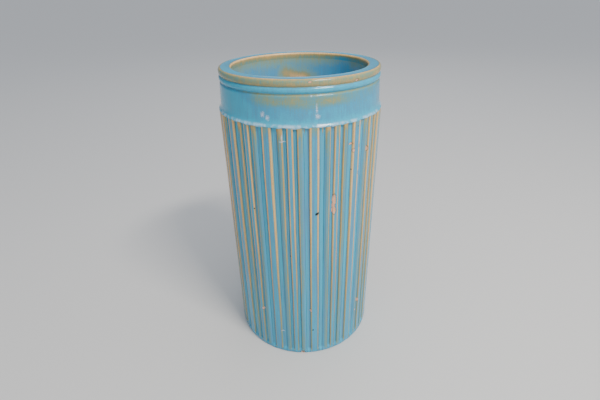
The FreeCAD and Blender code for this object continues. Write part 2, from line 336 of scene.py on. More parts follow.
def ribbed_coat_tree(material):
    """The tree that makes one stretch of the ribbed coat, with the inputs above."""
    tree = bpy.data.node_groups.new("ribbed_coat", "GeometryNodeTree")
    tree.interface.new_socket("Geometry", in_out="INPUT", socket_type="NodeSocketGeometry")
    tree.interface.new_socket("Geometry", in_out="OUTPUT", socket_type="NodeSocketGeometry")
    for name, kind, value in RIB_INPUTS:
        socket = tree.interface.new_socket(name, in_out="INPUT", socket_type=kind)
        socket.default_value = value
    given = add(tree, "NodeGroupInput").outputs
    rows = add(tree, "ShaderNodeMath", {0: given["Rows"], 1: 3.0}, operation="ADD").outputs[0]
    grid = add(tree, "GeometryNodeMeshGrid", {"Vertices X": given["Columns"], "Vertices Y": rows})
    spot = add(tree, "ShaderNodeSeparateXYZ", {0: add(tree, "GeometryNodeInputPosition").outputs[0]})
    known = {name: given[name] for name, _, _ in RIB_INPUTS}
    known.update(grid_x=spot.outputs[0], grid_y=spot.outputs[1])
    values = reckon(tree, known, PLACE_RULE)

    # seeded unevenness: each noise is read round the pot at its own spacing and stretched upwards;
    # how many waves to the millimetre round and up, and a seed
    unevenness = {
        "drift": (1 / 9.0, 1 / 60.0, 3.1),
        "wobble": (1 / 30.0, 1 / 55.0, 17.3),
        "break": (1 / 1.9, 1 / 70.0, 41.7),
        "waver": (1 / 6.0, 1 / 200.0, 63.3),
    }
    for name, (round_scale, up_scale, seed) in unevenness.items():
        scaled = reckon(
            tree,
            values,
            (
                ("nx", "MULTIPLY", "round_x", round_scale / MM),
                ("ny", "MULTIPLY", "round_y", round_scale / MM),
                ("nz", "MULTIPLY_ADD", "z", up_scale / MM, seed),
            ),
        )
        where = add(
            tree, "ShaderNodeCombineXYZ", {0: scaled["nx"], 1: scaled["ny"], 2: scaled["nz"]}
        )
        field = add(
            tree,
            "ShaderNodeTexNoise",
            {"Vector": where.outputs[0], "Scale": 1.0, "Detail": 1.0},
            noise_dimensions="3D",
        )
        values[name] = field.outputs[0]
    values = reckon(tree, values, FLUTE_RULE)
    place = add(
        tree, "ShaderNodeCombineXYZ", {0: values["x"], 1: values["y"], 2: values["z_placed"]}
    )
    kept = add(
        tree,
        "GeometryNodeStoreNamedAttribute",
        {"Geometry": grid.outputs[0], "Name": "thin", "Value": values["thin"]},
        data_type="FLOAT",
        domain="POINT",
    )
    moved = add(
        tree, "GeometryNodeSetPosition", {"Geometry": kept.outputs[0], "Position": place.outputs[0]}
    )
    merged = add(
        tree, "GeometryNodeMergeByDistance", {"Geometry": moved.outputs[0], "Distance": WELD_MM * MM}
    )
    real = add(tree, "GeometryNodeRealizeInstances", {"Geometry": merged.outputs[0]})
    dressed = add(
        tree, "GeometryNodeSetMaterial", {"Geometry": real.outputs[0], "Material": material}
    )
    add(tree, "NodeGroupOutput", {0: dressed.outputs[0]})
    return tree


def pot_point(turn_deg, radius, height):
    """A point at an angle from -Y round towards +X, in millimetres, as a place in metres."""
    turn = math.radians(turn_deg)
    return Vector((radius * math.sin(turn), -radius * math.cos(turn), height)) * MM


# knocks that show the clay: turn, height of the middle, and size round, up and in
CHIPS = (
    {"turn": 13.8, "height": 129.2, "wide": 2.2, "tall": 7.2, "deep": 0.75},
    {"turn": 13.4, "height": 125.2, "wide": 1.7, "tall": 4.6, "deep": 0.60},
    {"turn": 13.7, "height": 121.9, "wide": 2.5, "tall": 5.2, "deep": 0.80},
    {"turn": 25.8, "height": 162.2, "wide": 2.4, "tall": 1.2, "deep": 0.35},
    {"turn": 27.9, "height": 158.0, "wide": 1.7, "tall": 2.2, "deep": 0.40},
    {"turn": 32.9, "height": 160.2, "wide": 1.2, "tall": 2.0, "deep": 0.25},
    {"turn": 42.4, "height": 155.4, "wide": 1.8, "tall": 3.4, "deep": 0.35},
    {"turn": 32.9, "height": 143.0, "wide": 1.3, "tall": 2.2, "deep": 0.30},
    {"turn": 55.0, "height": 162.3, "wide": 2.0, "tall": 4.0, "deep": 0.45},
    {"turn": -3.0, "height": 42.6, "wide": 1.4, "tall": 2.4, "deep": 0.35},
    {"turn": -43.5, "height": 37.0, "wide": 1.8, "tall": 2.6, "deep": 0.35},
    {"turn": 39.9, "height": 26.8, "wide": 2.0, "tall": 2.0, "deep": 0.35},
    {"turn": 42.8, "height": 34.2, "wide": 2.2, "tall": 3.4, "deep": 0.40},
    {"turn": -9.9, "height": 0.2, "wide": 3.4, "tall": 4.4, "deep": 2.20},
    {"turn": 29.6, "height": 197.0, "wide": 2.4, "tall": 1.5, "deep": 0.40},
    {"turn": -2.1, "height": 198.6, "wide": 2.2, "tall": 0.9, "deep": 0.30},
    {"turn": 151.0, "height": 96.0, "wide": 2.4, "tall": 4.4, "deep": 0.55},
    {"turn": 221.0, "height": 61.0, "wide": 1.8, "tall": 2.8, "deep": 0.40},
    {"turn": 263.0, "height": 149.0, "wide": 2.0, "tall": 3.0, "deep": 0.40},
    {"turn": 118.0, "height": 196.6, "wide": 2.4, "tall": 1.4, "deep": 0.35},
    {"turn": 190.0, "height": 0.3, "wide": 4.6, "tall": 3.6, "deep": 1.60},
)

# iron burnt through the glaze as dark specks; tilt is in degrees
IRON_SPECKS = (
    {"turn": 1.8, "height": 121.4, "wide": 3.4, "tall": 1.9, "tilt": -38.0},
    {"turn": -43.5, "height": 121.0, "wide": 0.7, "tall": 0.9, "tilt": 0.0},
    {"turn": -17.3, "height": 89.5, "wide": 0.8, "tall": 1.0, "tilt": 0.0},
    {"turn": 26.9, "height": 146.2, "wide": 0.6, "tall": 0.7, "tilt": 0.0},
    {"turn": 30.6, "height": 172.0, "wide": 0.6, "tall": 0.8, "tilt": 10.0},
    {"turn": -1.4, "height": 23.7, "wide": 1.0, "tall": 2.0, "tilt": 0.0},
    {"turn": 171.0, "height": 118.0, "wide": 1.4, "tall": 1.0, "tilt": 20.0},
    {"turn": 248.0, "height": 84.0, "wide": 1.0, "tall": 1.2, "tilt": 0.0},
)

# pale marks: scuffs where the glaze is scratched dull, and painted glints, small highlights painted
# pale where bumps in the glaze catch the light
SCUFFS_AND_GLINTS = (
    # these five, low on the front of the collar, are painted glints: pale spots standing for highlights
    # on small bumps
    {"turn": -32.1, "height": 181.4, "wide": 2.9, "tall": 3.8, "tilt": 24.0},
    {"turn": -28.8, "height": 179.8, "wide": 2.7, "tall": 3.4, "tilt": -34.0},
    {"turn": 1.9, "height": 184.6, "wide": 1.5, "tall": 6.0, "tilt": 0.0},
    {"turn": 2.5, "height": 180.6, "wide": 3.4, "tall": 3.2, "tilt": 0.0},
    {"turn": -1.4, "height": 191.4, "wide": 1.4, "tall": 1.6, "tilt": 0.0},
    {"turn": -19.4, "height": 167.2, "wide": 4.6, "tall": 0.9, "tilt": 0.0},
    {"turn": -19.9, "height": 169.4, "wide": 0.8, "tall": 4.0, "tilt": 0.0},
    {"turn": -26.1, "height": 20.5, "wide": 3.2, "tall": 0.8, "tilt": 12.0},
    {"turn": 204.0, "height": 183.0, "wide": 1.8, "tall": 4.0, "tilt": 16.0},
)

# how ragged a chip's edge is, how far apart its notches lie, and how far outside it to look
CHIP_RAGGED = 0.45
CHIP_NOTCH_MM = 1.6
CHIP_REACH_MM = 2.0


def chip_depth(point):
    """How far the surface at this point is knocked back, in metres."""
    deepest = 0.0
    for chip in CHIPS:
        if abs(point.z - chip["height"] * MM) > chip["tall"] * MM:
            continue
        away = point - pot_point(chip["turn"], CREST_RADIUS, chip["height"])
        if away.length > (1.5 * max(chip["wide"], chip["tall"]) + CHIP_REACH_MM) * MM:
            continue
        turn = math.radians(chip["turn"])
        across = away.x * math.cos(turn) + away.y * math.sin(turn)
        spread = math.hypot(across / (chip["wide"] * MM / 2), away.z / (chip["tall"] * MM / 2))
        spread += CHIP_RAGGED * noise.noise(point / (CHIP_NOTCH_MM * MM))
        if spread < 1.0:
            deepest = max(deepest, chip["deep"] * MM * (1.0 - spread**3))
    return deepest


def knock_chips(mesh, least_radius):
    """Pushes the knocked places of a skin in towards the axis, but not the skin's own back."""
    for vertex in mesh.vertices:
        point = vertex.co
        radius = math.hypot(point.x, point.y)
        if radius < least_radius * MM:
            continue
        depth = chip_depth(point)
        if depth > 0.0:
            point.x *= (radius - depth) / radius
            point.y *= (radius - depth) / radius


def finish_mesh(name, mesh, material, sharp_degrees):
    """Closes what is open, turns the faces outwards, smooths the mesh and makes its object."""
    shape = bmesh.new()
    shape.from_mesh(mesh)
    bmesh.ops.holes_fill(shape, edges=[e for e in shape.edges if e.is_boundary], sides=0)
    bmesh.ops.recalc_face_normals(shape, faces=shape.faces)
    for face in shape.faces:
        face.smooth = True
    shape.to_mesh(mesh)
    shape.free()
    mesh.set_sharp_from_angle(angle=math.radians(sharp_degrees))
    mesh.materials.clear()
    mesh.materials.append(material)
    piece = bpy.data.objects.new(name, mesh)
    bpy.context.scene.collection.objects.link(piece)
    return piece


def ribbed_coat(tree, quarter, material):
    """One quarter of the ribbed coat; quarters meet down the middle of a small flute."""
    first_flute = SMALL_FLUTE["turn"] - 2 * 360.0 / BAYS
    carrier = bpy.data.objects.new("ribbed_carrier", bpy.data.meshes.new("ribbed_carrier"))
    bpy.context.scene.collection.objects.link(carrier)
    modifier = carrier.modifiers.new("ribbed_coat", "NODES")
    modifier.node_group = tree
    sockets = {
        item.name: item.identifier
        for item in tree.interface.items_tree
        if item.item_type == "SOCKET" and item.in_out == "INPUT"
    }
    modifier[sockets["Start Turn"]] = math.radians(first_flute + quarter * 360.0 / QUARTERS)
    carrier.update_tag()
    view = bpy.context.evaluated_depsgraph_get()
    mesh = bpy.data.meshes.new_from_object(carrier.evaluated_get(view))
    bpy.data.objects.remove(carrier)
    knock_chips(mesh, CORE_RADIUS + BACK_MARGIN)
    return finish_mesh(f"ribbed_coat_{quarter + 1}", mesh, material, sharp_degrees=48.0)


# ---------------------------------------------------------------------------------------------
# Turned skins: a smooth outline swept round the axis, uneven as a hand leaves it
# ---------------------------------------------------------------------------------------------
# how far apart the waves lie that a hand leaves, in millimetres
SLOW_WAVE = 26.0
QUICK_WAVE = 7.0
HEM_WAVE = 3.4
STRAY_WAVE = 9.0
# rows over which the unevenness dies away at an edge, and over which a hem hangs
EDGE_ROWS = 4
HEM_ROWS = 16


def smooth_outline(knots, steps):
    """A curve through (radius, height, thinness) knots, with this many steps between two."""
    knots = [Vector(knot) for knot in knots]
    line = []
    for index in range(len(knots) - 1):
        before = knots[max(index - 1, 0)]
        start = knots[index]
        end = knots[index + 1]
        after = knots[min(index + 2, len(knots) - 1)]
        for step in range(steps):
            t = step / steps
            line.append(
                0.5
                * (
                    2 * start
                    + (end - before) * t
                    + (2 * before - 5 * start + 4 * end - after) * t**2
                    + (3 * start - before - 3 * end + after) * t**3
                )
            )
    line.append(knots[-1])
    return line


def soft_patch(patch, turn, height):
    """How strongly a soft-edged patch shows at this turn, in degrees, and this height."""
    swing = (turn - patch["turn"] + 180.0) % 360.0 - 180.0
    rise = height - patch["height"]
    spread = math.hypot(swing / (patch["wide"] / 2), rise / (patch["tall"] / 2))
    return max(0.0, 1.0 - spread**2) ** 1.5


def turned_skin(
    name, outline, back, columns, unevenness, patches, material, hem=0.0, chipped_from=None
):
    """A closed ring: the outline is its shown side, and back lists the hidden corners that
    close its section. Patches change how thin the glaze is at places round the ring. A hem lets
    the low edge hang down unevenly by about that much, as where one coat laps over another.
    Knocks dent the skin wherever it lies farther out than chipped_from."""
    section = list(outline) + [Vector(corner) for corner in back]
    shown = len(outline)
    vertices = []
    thinness = []
    for column in range(columns):
        turn = 360.0 * column / columns
        for row, (radius, height, thin) in enumerate(section):
            point = pot_point(turn, radius, height)
            if row < shown:
                uneven = unevenness * noise.noise(point / (SLOW_WAVE * MM))
                uneven += 0.3 * unevenness * noise.noise(point / (QUICK_WAVE * MM))
                end_fade = min(1.0, row / EDGE_ROWS, (shown - 1 - row) / EDGE_ROWS)
                low = max(0.0, 1.0 - row / HEM_ROWS)
                hang = hem * low * (0.35 + 0.9 * noise.noise(point / (HEM_WAVE * MM)))
                point = pot_point(turn, radius + uneven * end_fade, height - hang)
                stray = 1.0 + 0.9 * noise.noise(point / (STRAY_WAVE * MM))
                for patch in patches:
                    thin += patch["thin"] * stray * soft_patch(patch, turn, height)
            vertices.append(point)
            thinness.append(max(0.0, min(1.2, thin)))
    rows = len(section)
    faces = []
    for column in range(columns):
        here = column * rows
        there = (column + 1) % columns * rows
        for row in range(rows):
            above = (row + 1) % rows
            faces.append((here + row, there + row, there + above, here + above))
    mesh = bpy.data.meshes.new(name)
    mesh.from_pydata(vertices, [], faces)
    layer = mesh.attributes.new("thin", "FLOAT", "POINT")
    layer.data.foreach_set("value", thinness)
    if chipped_from is not None:
        knock_chips(mesh, chipped_from)
    return finish_mesh(name, mesh, material, sharp_degrees=40.0)


# knots of each outline over the glaze: radius, height and thinness, from 0 for a full coat to 1
# for almost bare, and under 0 where patches thin it less; together they run up the collar, over
# the rim, down the well and in to the middle of the floor
COLLAR_KNOTS = (
    (51.45, RIB_TOP - 0.10, 0.10),
    (51.72, RIB_TOP + 0.10, 0.04),
    (51.62, RIB_TOP + 0.42, 0.0),
    (51.28, RIB_TOP + 0.80, 0.0),
    (50.92, RIB_TOP + 1.30, 0.0),
    (50.62, RIB_TOP + 2.0, 0.0),
    (50.38, RIB_TOP + 3.1, 0.04),
    (50.22, RIB_TOP + 5.0, 0.13),
    (49.95, RIB_TOP + 10.5, 0.19),
    (49.70, RIB_TOP + 14.6, 0.24),
    (49.52, LIP_TOP - 8.9, 0.28),
    (49.10, LIP_TOP - 8.3, 0.40),
    (48.95, NECK, 0.40),
)
RIM_KNOTS = (
    (48.95, NECK, 0.40),
    (49.20, LIP_TOP - 7.35, 0.15),
    (49.68, LIP_TOP - 6.75, -0.05),
    (49.92, LIP_TOP - 6.0, -0.10),
    (49.78, LIP_TOP - 5.1, -0.05),
    (49.35, LIP_TOP - 4.45, 0.10),
    (49.08, LIP_TOP - 4.05, 0.40),
    # over the rolled bead the glaze runs olive at its foot, sage across its middle and pale cream at
    # its top edge: partly the glaze breaking on the edge, partly painted shade under the bead and a
    # painted highlight along its top
    (49.32, LIP_TOP - 3.7, 0.54),
    (49.74, LIP_TOP - 3.0, 0.53),
    (49.90, LIP_TOP - 2.1, 0.47),
    (49.76, LIP_TOP - 1.15, 0.45),
    (49.40, LIP_TOP - 0.50, 0.54),
    (48.90, LIP_TOP - 0.12, 0.68),
    (48.45, LIP_TOP, 0.50),
    (48.05, LIP_TOP - 0.10, 0.22),
    (47.20, LIP_TOP - 0.22, 0.14),
    (45.20, LIP_TOP - 0.24, 0.14),
    (43.60, LIP_TOP - 0.14, 0.18),
    (42.95, LIP_TOP - 0.05, 0.36),
    (42.45, LIP_TOP - 0.22, 0.86),
    (42.12, LIP_TOP - 0.70, 0.92),
    (42.00, LIP_TOP - 1.35, 0.64),
    (42.00, LIP_TOP - 2.40, 0.48),
    (42.00, LINER_SEAM, 0.42),
)
LINER_KNOTS = (
    (42.00, LINER_SEAM, 0.42),
    (42.00, LIP_TOP - 6.0, 0.35),
    (41.98, LIP_TOP - 9.0, 0.25),
    (42.02, LIP_TOP - 14.0, 0.16),
    (41.97, LIP_TOP - 24.0, 0.14),
    (42.02, LIP_TOP - 40.0, 0.12),
    (41.97, LIP_TOP - 60.0, 0.12),
    (42.02, LIP_TOP - 85.0, 0.08),
    (41.97, LIP_TOP - 115.0, 0.08),
    (42.02, LIP_TOP - 150.0, 0.04),
    (41.98, LIP_TOP - 175.0, 0.0),
    (41.98, FLOOR_TOP + 4.2, 0.0),
    (41.60, FLOOR_TOP + 1.9, -0.1),
    (40.40, FLOOR_TOP + 0.6, -0.15),
    (38.40, FLOOR_TOP + 0.12, -0.12),
    (FLOOR_SEAM_RADIUS, FLOOR_TOP + 0.05, 0.0),
)
FLOOR_KNOTS = (
    (FLOOR_SEAM_RADIUS, FLOOR_TOP + 0.05, 0.0),
    (29.0, FLOOR_TOP + 0.12, 0.10),
    (25.0, FLOOR_TOP + 0.04, 0.02),
    (20.0, FLOOR_TOP + 0.16, 0.12),
    (16.0, FLOOR_TOP + 0.06, 0.02),
    (11.0, FLOOR_TOP + 0.18, 0.12),
    (7.0, FLOOR_TOP + 0.08, 0.04),
    (3.0, FLOOR_TOP + 0.22, 0.15),
    (0.0, FLOOR_TOP + 0.26, 0.15),
)
# the foot is bare clay, from inside its ring to the glaze line
FOOT_KNOTS = (
    (FOOT_BORE, 2.4, 1.0),
    (FOOT_BORE, 0.6, 1.0),
    (39.6, 0.06, 1.0),
    (41.5, 0.0, 1.0),
    (47.6, 0.0, 1.0),
    (49.6, 0.06, 1.0),
    (50.25, 0.55, 1.0),
    (FOOT_RADIUS, 1.4, 1.0),
)

# soft patches where the glaze drained thin, or with a minus stayed full; turn and width are degrees.
# Some minus patches are painted shade, as said beside each
COLLAR_PATCHES = (
    # painted shade: the collar's left, away from the key light, is painted deep blue
    {"turn": -64.0, "height": 186.0, "wide": 62.0, "tall": 26.0, "thin": -0.30},
    {"turn": -30.0, "height": 188.6, "wide": 34.0, "tall": 8.0, "thin": 0.16},
    {"turn": -4.0, "height": 188.2, "wide": 44.0, "tall": 10.0, "thin": 0.22},
    {"turn": 16.0, "height": 188.2, "wide": 34.0, "tall": 8.0, "thin": 0.13},
    {"turn": 96.0, "height": 188.0, "wide": 60.0, "tall": 9.0, "thin": 0.22},
    {"turn": 158.0, "height": 185.0, "wide": 34.0, "tall": 12.0, "thin": 0.20},
    {"turn": 232.0, "height": 188.5, "wide": 52.0, "tall": 9.0, "thin": 0.22},
)
RIM_PATCHES = (
    {"turn": 14.0, "height": 197.6, "wide": 84.0, "tall": 5.0, "thin": 0.05},
    # painted shade: the lip's left, which gets less light, is painted a deeper blue
    {"turn": -72.0, "height": 200.0, "wide": 50.0, "tall": 2.0, "thin": -0.10},
    # painted shade: the back right of the rim and the inside wall below it, in shade from the key
    # light, are painted deeper blue
    {"turn": 122.0, "height": 196.0, "wide": 76.0, "tall": 10.0, "thin": -0.16},
    {"turn": 60.0, "height": 197.8, "wide": 50.0, "tall": 3.4, "thin": 0.08},
    {"turn": 200.0, "height": 197.8, "wide": 70.0, "tall": 3.4, "thin": 0.08},
)
LINER_PATCHES = (
    {"turn": 183.0, "height": 187.5, "wide": 24.0, "tall": 12.0, "thin": 0.26},
    {"turn": 174.0, "height": 182.0, "wide": 52.0, "tall": 22.0, "thin": 0.34},
    {"turn": 171.0, "height": 180.0, "wide": 26.0, "tall": 16.0, "thin": 0.24},
    # painted shade: the inside wall on the right, in shade from the key light, is painted deeper blue
    {"turn": 122.0, "height": 190.0, "wide": 76.0, "tall": 26.0, "thin": -0.08},
    {"turn": 20.0, "height": 186.0, "wide": 60.0, "tall": 14.0, "thin": 0.20},
)


# ---------------------------------------------------------------------------------------------
# Materials
# ---------------------------------------------------------------------------------------------
# the glaze's colour by how thin it lies
GLAZE_STOPS = (
    (0.00, "#38B4D6"),
    (0.18, "#429FC8"),
    (0.34, "#669B9E"),
    (0.48, "#8B9A78"),
    (0.64, "#BB9F68"),
    (0.80, "#E0B472"),
    (1.00, "#F2C98C"),
)
LINER_STOPS = (
    (0.00, "#46AEDC"),
    (0.18, "#5CA6CC"),
    (0.34, "#80AAA8"),
    (0.48, "#98A280"),
    (0.64, "#BEA672"),
    (0.80, "#DDB680"),
    (1.00, "#F0CFA6"),
)
CLAY_PINK = "#E8A480"
CLAY_PALE = "#F4CBAA"
CLAY_DARK = "#A87C62"
# a glaze is usually near 1.5; a little less keeps the pale floor's reflection off the sides
GLAZE_IOR = 1.46
CLAY_IOR = 1.5
PINHOLE_CELL = 2.6
# a mark reaches this far in and out of the surface, and counts as this many half sizes away where
# a glaze has none
MARK_THROUGH = 4.0
NO_MARK_NEAR = 9.0


def nearest_mark(tree, place, marks):
    """Distance from the nearest mark's centre, as a share of that mark's own half size."""
    nearest = None
    for mark in marks:
        local = add(
            tree,
            "ShaderNodeMapping",
            {
                "Vector": place,
                "Location": pot_point(mark["turn"], CREST_RADIUS, mark["height"]),
                "Rotation": (0.0, math.radians(mark.get("tilt", 0.0)), math.radians(mark["turn"])),
                "Scale": (mark["wide"] * MM / 2, MARK_THROUGH * MM, mark["tall"] * MM / 2),
            },
            vector_type="TEXTURE",
        )
        spread = add(tree, "ShaderNodeVectorMath", {0: local.outputs[0]}, operation="LENGTH")
        reach = spread.outputs["Value"]
        if nearest is not None:
            lesser = add(tree, "ShaderNodeMath", {0: nearest, 1: reach}, operation="MINIMUM")
            reach = lesser.outputs[0]
        nearest = reach
    return NO_MARK_NEAR if nearest is None else nearest


def glaze_material(name, colours, low, high, stretch, mottle, streaks, ledge_white_and_sheen=0.0):
    """Turquoise reactive glaze over buff stoneware, dipped and fired glossy. It is glassy, so it
    reflects sharply; where it lies thick it is clear cyan, and where it runs thin over an edge
    it breaks through grey-green and ochre to tan. Where its thinness falls below nothing it goes
    dark blue, partly pooled glaze and partly painted shade. Where it laps the ledge it turns
    whitish, partly crawled glaze and partly a painted highlight along the ledge; pale scuffs are
    partly scratches and partly painted glints; and knocks show the matt pink clay. It takes the
    marks whose height lies between low and high. Stretch draws the mottle out up the pot, mottle
    and streaks are how strongly they show, and the last argument is how strongly the lap's
    whitish crawl and painted highlight show."""
    material = bpy.data.materials.new(name)
    material.use_nodes = True
    tree = material.node_tree
    tree.nodes.clear()
    place = add(tree, "ShaderNodeTexCoord").outputs["Object"]
    thin = add(tree, "ShaderNodeAttribute", attribute_name="thin").outputs["Fac"]
    pulled = add(tree, "ShaderNodeMapping", {"Vector": place, "Scale": (1.0, 1.0, stretch)})
    combed = add(tree, "ShaderNodeMapping", {"Vector": place, "Scale": (1.0, 1.0, stretch / 16)})
    known = {"thin": thin, "z": add(tree, "ShaderNodeSeparateXYZ", {0: place}).outputs[2]}
    # slow clouds, then mottle and fine combing drawn out up the pot, then grain and a rolling skin
    for field, vector, size_mm, detail in (
        ("cloud", place, 17.0, 2.0),
        ("mottle", pulled.outputs[0], 3.0, 4.0),
        ("comb", combed.outputs[0], 0.65, 2.0),
        ("grain", place, 0.7, 3.0),
        ("skin", place, 2.2, 2.0),
    ):
        inputs = {"Vector": vector, "Scale": 1.0 / (size_mm * MM), "Detail": detail}
        known[field] = add(tree, "ShaderNodeTexNoise", inputs).outputs["Fac"]
    pinholes = {"Vector": place, "Scale": 1.0 / (PINHOLE_CELL * MM)}
    cells = add(tree, "ShaderNodeTexVoronoi", pinholes)
    tint = add(tree, "ShaderNodeSeparateColor", {0: cells.outputs["Color"]})
    known["cell"] = cells.outputs["Distance"]
    known["cell_tint"] = tint.outputs[0]
    for field, marks in (("chip", CHIPS), ("speck", IRON_SPECKS), ("scuff_and_glint_reach", SCUFFS_AND_GLINTS)):
        here = [mark for mark in marks if low <= mark["height"] <= high]
        known[field] = nearest_mark(tree, place, here)
    values = reckon(
        tree,
        known,
        (
            ("cloud_off", "MULTIPLY_ADD", "cloud", 0.34 * mottle, -0.17 * mottle),
            ("mottle_off", "MULTIPLY_ADD", "mottle", 0.50 * mottle, "cloud_off"),
            ("comb_off", "MULTIPLY_ADD", "comb", 0.45 * mottle, "mottle_off"),
            ("grain_off", "MULTIPLY_ADD", "grain", 0.60 * mottle, "comb_off"),
            ("stray", "ADD", "grain_off", -0.775 * mottle),
            ("thin_all", "ADD", "thin", "stray"),
            ("smoke", "STEP", "comb", 0.42, 0.70),
            ("smoke_thin", "STEP", "thin_all", 0.5, 0.1),
            ("smoky", "MULTIPLY", "smoke", "smoke_thin"),
            ("dull", "MULTIPLY", "smoky", streaks),
            # below nothing the colour goes dark blue: partly glaze pooled deep, partly painted shade in
            # the flutes' corners and on the sides the minus patches mark
            ("pool_and_shade", "STEP", "thin_all", -0.08, -0.30),
            ("pooled_and_shaded", "MULTIPLY", "pool_and_shade", 0.8),
            # the lap along the ledge is painted whitish: partly crawled glaze, partly a painted
            # highlight along the ledge
            ("lap_near", "STEP", "z", (RIB_TOP + 2.0) * MM, (RIB_TOP + 0.5) * MM),
            ("lap_here", "STEP", "mottle", 0.36, 0.64),
            ("lap", "MULTIPLY", "lap_near", "lap_here"),
            ("lap_white_and_sheen", "MULTIPLY", "lap", ledge_white_and_sheen),
            ("ragged", "MULTIPLY_ADD", "grain", 0.8, -0.4),
            ("chip_edge", "ADD", "chip", "ragged"),
            ("bare", "STEP", "chip_edge", 1.0, 0.88),
            # round each chip a dark brown band is painted shade along its broken rim
            ("chip_out", "STEP", "chip_edge", 1.35, 1.05),
            ("chip_rim_shade", "SUBTRACT", "chip_out", "bare"),
            ("ring", "MULTIPLY", "chip_rim_shade", 0.7),
            ("speck_edge", "ADD", "speck", "ragged"),
            ("iron", "STEP", "speck_edge", 1.05, 0.7),
            # pale marks: scratched glaze, and painted glints where the collar's bumps catch the light
            ("scuff_and_glint_edge", "MULTIPLY_ADD", "ragged", 2.2, "scuff_and_glint_reach"),
            ("scuff_and_glint", "STEP", "scuff_and_glint_edge", 1.2, 0.2),
            ("pale_scuff_and_glint", "MULTIPLY", "scuff_and_glint", 0.8),
            ("hole_near", "STEP", "cell", 0.10, 0.04),
            ("rare", "GREATER_THAN", "cell_tint", 0.90),
            ("hole", "MULTIPLY", "hole_near", "rare"),
            ("thin_rough", "STEP", "thin_all", 0.35, 1.0),
            ("gloss_a", "MULTIPLY_ADD", "thin_rough", 0.14, 0.10),
            ("gloss_b", "MULTIPLY_ADD", "mottle", 0.10, "gloss_a"),
            ("gloss_c", "MULTIPLY_ADD", "bare", 0.55, "gloss_b"),
            ("gloss_d", "MULTIPLY_ADD", "scuff_and_glint", 0.2, "gloss_c"),
            ("roughness", "MULTIPLY_ADD", "hole", 0.3, "gloss_d"),
            ("height_a", "MULTIPLY", "skin", 0.16),
            ("height_b", "MULTIPLY_ADD", "bare", -0.3, "height_a"),
            ("height_c", "MULTIPLY_ADD", "hole", -0.25, "height_b"),
            ("gritty", "MULTIPLY", "bare", "grain"),
            ("height", "MULTIPLY_ADD", "gritty", 0.35, "height_c"),
        ),
    )
    ramp = add(tree, "ShaderNodeValToRGB", {"Fac": values["thin_all"]})
    stops = ramp.color_ramp.elements
    while len(stops) < len(colours):
        stops.new(0.5)
    for stop, (position, colour) in zip(stops, colours):
        stop.position = position
        stop.color = linear(colour)
    clay = add(
        tree,
        "ShaderNodeMix",
        {0: values["grain"], 6: linear(CLAY_PINK), 7: linear(CLAY_PALE)},
        data_type="RGBA",
    )
    # each layer is laid over those before it: what share of it shows, and its colour
    colour = ramp.outputs["Color"]
    for share, layer in (
        # dark blue: partly pooled glaze, partly painted shade
        ("pooled_and_shaded", linear("#1F7096")),
        ("dull", linear("#6283AC")),
        # whitish lap: crawled glaze and a painted highlight
        ("lap_white_and_sheen", linear("#C6DEF0")),
        ("pale_scuff_and_glint", linear("#D2DDF0")),
        ("hole", linear("#6E5A44")),
        ("iron", linear("#1B2A2C")),
        # painted shade round each chip's rim
        ("ring", linear("#5E4A3C")),
        ("bare", clay.outputs[2]),
    ):
        inputs = {0: values[share], 6: colour, 7: layer}
        colour = add(tree, "ShaderNodeMix", inputs, data_type="RGBA").outputs[2]
    bump = add(
        tree,
        "ShaderNodeBump",
        {"Height": values["height"], "Strength": 0.6, "Distance": 0.5 * MM},
    )
    surface = add(
        tree,
        "ShaderNodeBsdfPrincipled",
        {
            "Base Color": colour,
            "Roughness": values["roughness"],
            "Normal": bump.outputs["Normal"],
            "IOR": GLAZE_IOR,
        },
    )
    add(tree, "ShaderNodeOutputMaterial", {"Surface": surface.outputs[0]})
    return material


def clay_material():
    """Bare fired stoneware, pink-buff, turned and wiped: matt, finely gritty, a little darker
    in soft clouds."""
    material = bpy.data.materials.new("bare_stoneware")
    material.use_nodes = True
    tree = material.node_tree
    tree.nodes.clear()
    place = add(tree, "ShaderNodeTexCoord").outputs["Object"]
    known = {}
    for field, size_mm, detail in (("cloud", 14.0, 4.0), ("grit", 0.5, 3.0)):
        inputs = {"Vector": place, "Scale": 1 / (size_mm * MM), "Detail": detail}
        known[field] = add(tree, "ShaderNodeTexNoise", inputs).outputs["Fac"]
    values = reckon(
        tree,
        known,
        (
            ("tone", "MULTIPLY_ADD", "grit", 0.5, "cloud"),
            ("tone_off", "ADD", "tone", -0.25),
            ("roughness", "MULTIPLY_ADD", "grit", 0.15, 0.72),
        ),
    )
    ramp = add(tree, "ShaderNodeValToRGB", {"Fac": values["tone_off"]})
    stops = ramp.color_ramp.elements
    stops[0].position = 0.3
    stops[0].color = linear(CLAY_DARK)
    stops[1].position = 0.7
    stops[1].color = linear(CLAY_PALE)
    bump = add(
        tree,
        "ShaderNodeBump",
        {"Height": values["grit"], "Strength": 0.35, "Distance": 0.25 * MM},
    )
    surface = add(
        tree,
        "ShaderNodeBsdfPrincipled",
        {
            "Base Color": ramp.outputs["Color"],
            "Roughness": values["roughness"],
            "Normal": bump.outputs["Normal"],
            "IOR": CLAY_IOR,
        },
    )
    add(tree, "ShaderNodeOutputMaterial", {"Surface": surface.outputs[0]})
    return material


# ---------------------------------------------------------------------------------------------
# Build
# ---------------------------------------------------------------------------------------------
rib_glaze = glaze_material(
    "turquoise_glaze_on_ribs",
    GLAZE_STOPS,
    low=0.0,
    high=RIB_TOP,
    stretch=0.2,
    mottle=0.45,
    streaks=0.68,
)
collar_glaze = glaze_material(
    "turquoise_glaze_on_collar",
    GLAZE_STOPS,
    low=RIB_TOP,
    high=LIP_TOP,
    stretch=0.5,
    mottle=0.55,
    streaks=0.22,
    ledge_white_and_sheen=0.72,
)
